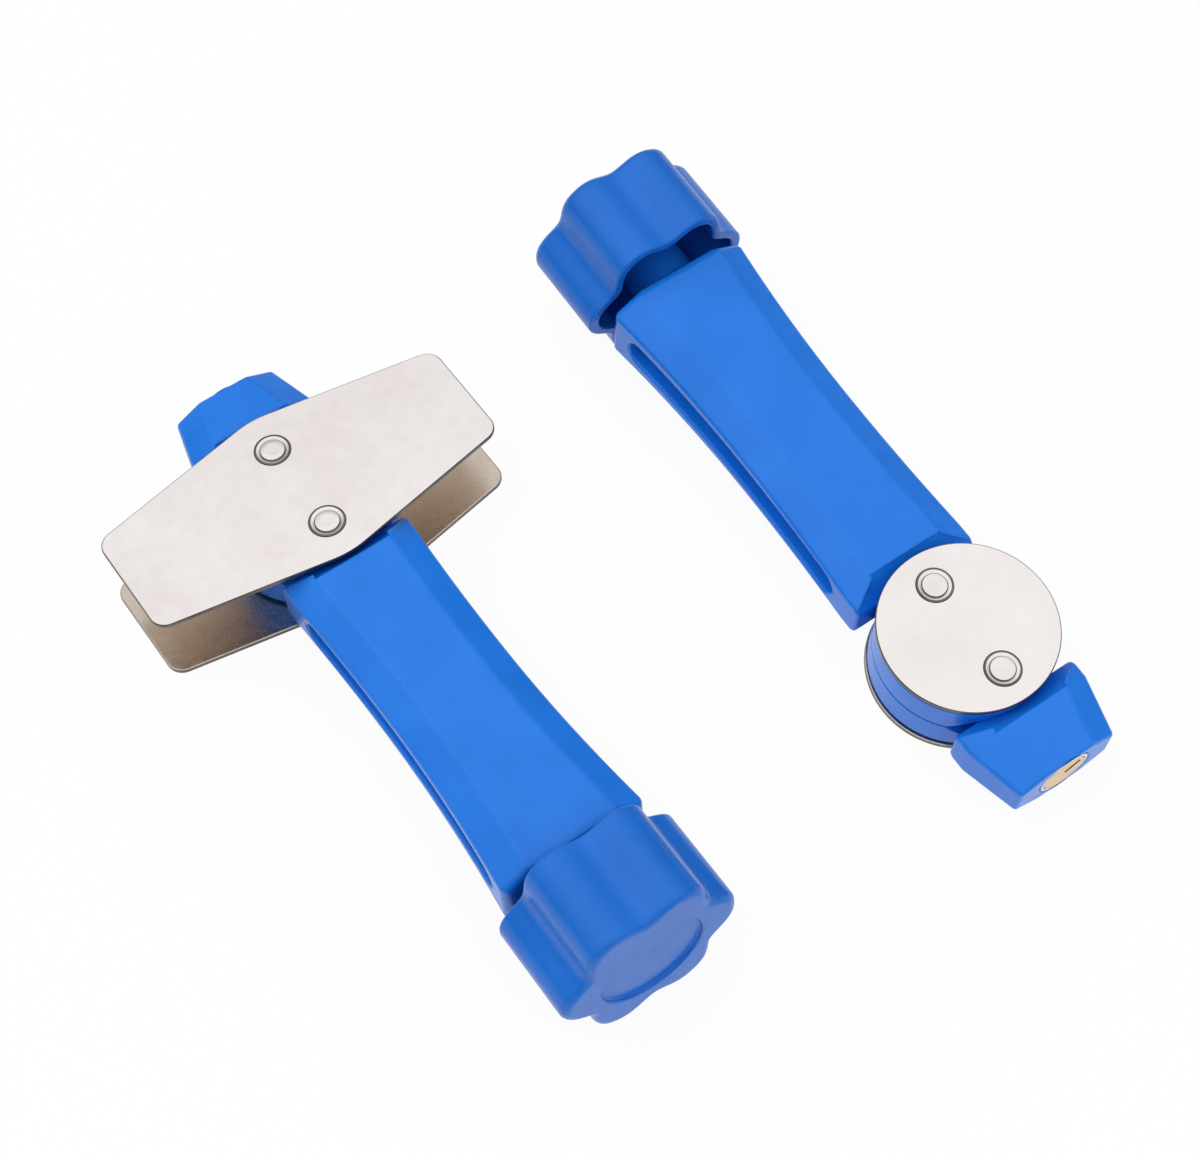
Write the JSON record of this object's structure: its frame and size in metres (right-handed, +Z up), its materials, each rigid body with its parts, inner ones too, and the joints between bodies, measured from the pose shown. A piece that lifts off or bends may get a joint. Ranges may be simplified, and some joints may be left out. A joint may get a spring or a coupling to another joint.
{
  "type": "magnetic glass cleaner",
  "caption": "Pair of knob-handled wedge-clamp tools, one with oblong steel plates and one with round ones; the knob draws a bolt that spreads a split, magnet-closed head.",
  "frame": {"origin": "centre of the pair's bounding box on the table, z = 0 at the surface that both tools lie on", "axes": "+X along both tools, from the round-plate tool's knob to its end cap; +Y from the oblong-plate tool to the round-plate tool; +Z up from the table"},
  "size_m": [0.206, 0.185, 0.0457],
  "materials": {
    "blue_plastic": "semi-gloss moulded blue plastic with faint moulding marks",
    "nickel_plate": "bright nickel-plated sheet steel with very fine waviness",
    "rivet_steel": "bright pressed rivet heads",
    "bright_steel": "turned bright steel",
    "brass": "turned brass with fine concentric marks",
    "magnet": "dull nickel-coated disc magnets"
  },
  "bodies": {
    "grips": {"oblong_handle": "blue_plastic", "oblong_thrust_washer": "bright_steel", "round_handle": "blue_plastic", "round_thrust_washer": "bright_steel"},
    "oblong_knob_unit": {"oblong_knob": "blue_plastic", "oblong_knob_insert": "brass"},
    "oblong_cap_unit": {"oblong_end_cap": "blue_plastic", "oblong_cap_ferrule": "bright_steel", "oblong_draw_bolt": "brass"},
    "oblong_upper_head": {"oblong_upper_core": "blue_plastic", "oblong_upper_plate": "nickel_plate", "oblong_upper_rivets": "rivet_steel", "oblong_upper_magnets": "magnet"},
    "oblong_lower_head": {"oblong_lower_core": "blue_plastic", "oblong_lower_plate": "nickel_plate", "oblong_lower_rivets": "rivet_steel", "oblong_lower_magnets": "magnet", "oblong_guide_pins": "bright_steel"},
    "round_knob_unit": {"round_knob": "blue_plastic", "round_knob_insert": "brass"},
    "round_cap_unit": {"round_end_cap": "blue_plastic", "round_cap_ferrule": "bright_steel", "round_draw_bolt": "brass"},
    "round_upper_head": {"round_upper_core": "blue_plastic", "round_upper_plate": "nickel_plate", "round_upper_rivets": "rivet_steel", "round_upper_magnets": "magnet"},
    "round_lower_head": {"round_lower_core": "blue_plastic", "round_lower_plate": "nickel_plate", "round_lower_rivets": "rivet_steel", "round_lower_magnets": "magnet", "round_guide_pins": "bright_steel"}
  },
  "joints": [
    {"name": "oblong_knob_turn", "type": "hinge", "parent": "grips", "child": "oblong_knob_unit", "pos_m": [0.06195, -0.043, 0.02202], "axis": [-0.9976, 0, -0.0694], "range_deg": [0, 1440]},
    {"name": "oblong_cap_draw", "type": "slide", "parent": "grips", "child": "oblong_cap_unit", "axis": [0.9976, 0, 0.0694], "range_m": [0, 0.004]},
    {"name": "oblong_upper_spread", "type": "slide", "parent": "grips", "child": "oblong_upper_head", "axis": [0.6563, 0, 0.7545], "range_m": [0, 0.00283]},
    {"name": "oblong_lower_spread", "type": "slide", "parent": "grips", "child": "oblong_lower_head", "axis": [0.7545, 0, -0.6563], "range_m": [0, 0.00283]},
    {"name": "round_knob_turn", "type": "hinge", "parent": "grips", "child": "round_knob_unit", "pos_m": [-0.06194, 0.068, 0.02202], "axis": [0.9975, 0, -0.0703], "range_deg": [0, 1440]},
    {"name": "round_cap_draw", "type": "slide", "parent": "grips", "child": "round_cap_unit", "axis": [-0.9975, 0, 0.0703], "range_m": [0, 0.004]},
    {"name": "round_upper_spread", "type": "slide", "parent": "grips", "child": "round_upper_head", "axis": [-0.6557, 0, 0.755], "range_m": [0, 0.00283]},
    {"name": "round_lower_spread", "type": "slide", "parent": "grips", "child": "round_lower_head", "axis": [-0.755, 0, -0.6557], "range_m": [0, 0.00283]}
  ],
  "couplings": [
    {"joint": "oblong_knob_turn", "follows": "oblong_cap_draw", "rad_per_m": 6283.2},
    {"joint": "oblong_upper_spread", "follows": "oblong_cap_draw", "ratio": 0.70711},
    {"joint": "oblong_lower_spread", "follows": "oblong_cap_draw", "ratio": 0.70711},
    {"joint": "round_knob_turn", "follows": "round_cap_draw", "rad_per_m": 6283.2},
    {"joint": "round_upper_spread", "follows": "round_cap_draw", "ratio": 0.70711},
    {"joint": "round_lower_spread", "follows": "round_cap_draw", "ratio": 0.70711}
  ]
}
